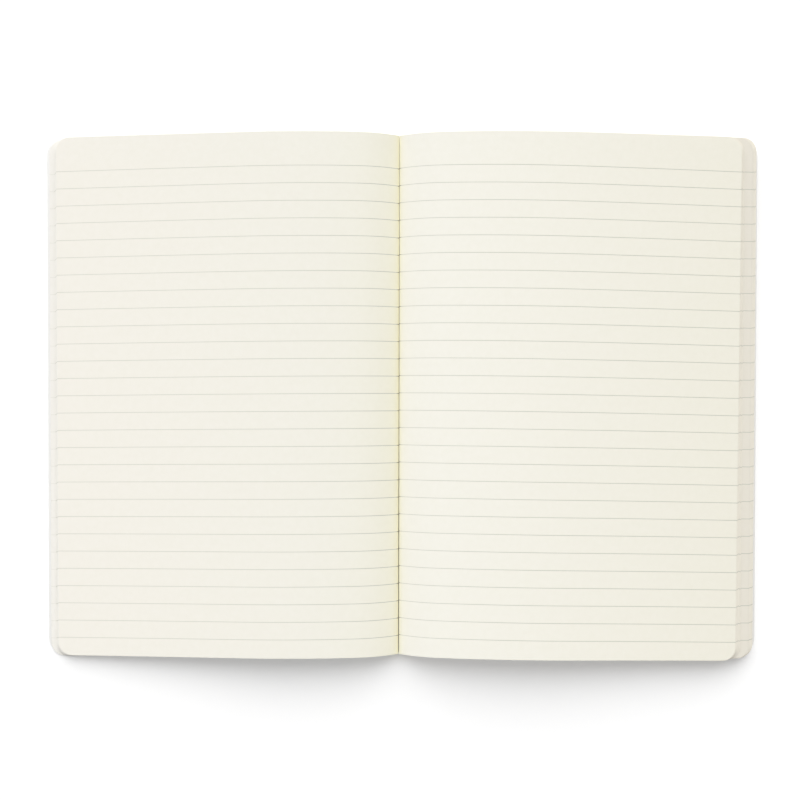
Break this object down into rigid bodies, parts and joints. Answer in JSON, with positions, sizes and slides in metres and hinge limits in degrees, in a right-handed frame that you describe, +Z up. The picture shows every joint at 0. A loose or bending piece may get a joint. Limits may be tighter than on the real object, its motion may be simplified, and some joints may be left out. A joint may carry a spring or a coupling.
{
  "type": "open composition notebook",
  "caption": "Thick ruled notebook lying open, with two arched page halves, a gutter between them, fanned sheet edges and a thin card cover that folds back at its creases.",
  "frame": {"origin": "on the surface the book lies on, under the gutter, half-way from the tail of the pages to the head", "axes": "+X across the spread towards the back cover's side, +Y towards the head of the pages, +Z up from the surface"},
  "size_m": [0.2899, 0.2118, 0.0141],
  "materials": {
    "ruled_paper": "matte",
    "cover_card": "matte"
  },
  "bodies": {
    "sheets": {"page_block": "ruled_paper", "cover_spine": "cover_card"},
    "front_cover": {"front_cover": "cover_card"},
    "back_cover": {"back_cover": "cover_card"}
  },
  "joints": [
    {"name": "front_cover_hinge", "type": "hinge", "parent": "sheets", "child": "front_cover", "pos_m": [-0.0026, 0, 0], "axis": [0, -1, 0], "range_deg": [0, 90]},
    {"name": "back_cover_hinge", "type": "hinge", "parent": "sheets", "child": "back_cover", "pos_m": [0.0051, 0, 0], "axis": [0, 1, 0], "range_deg": [0, 90]}
  ]
}
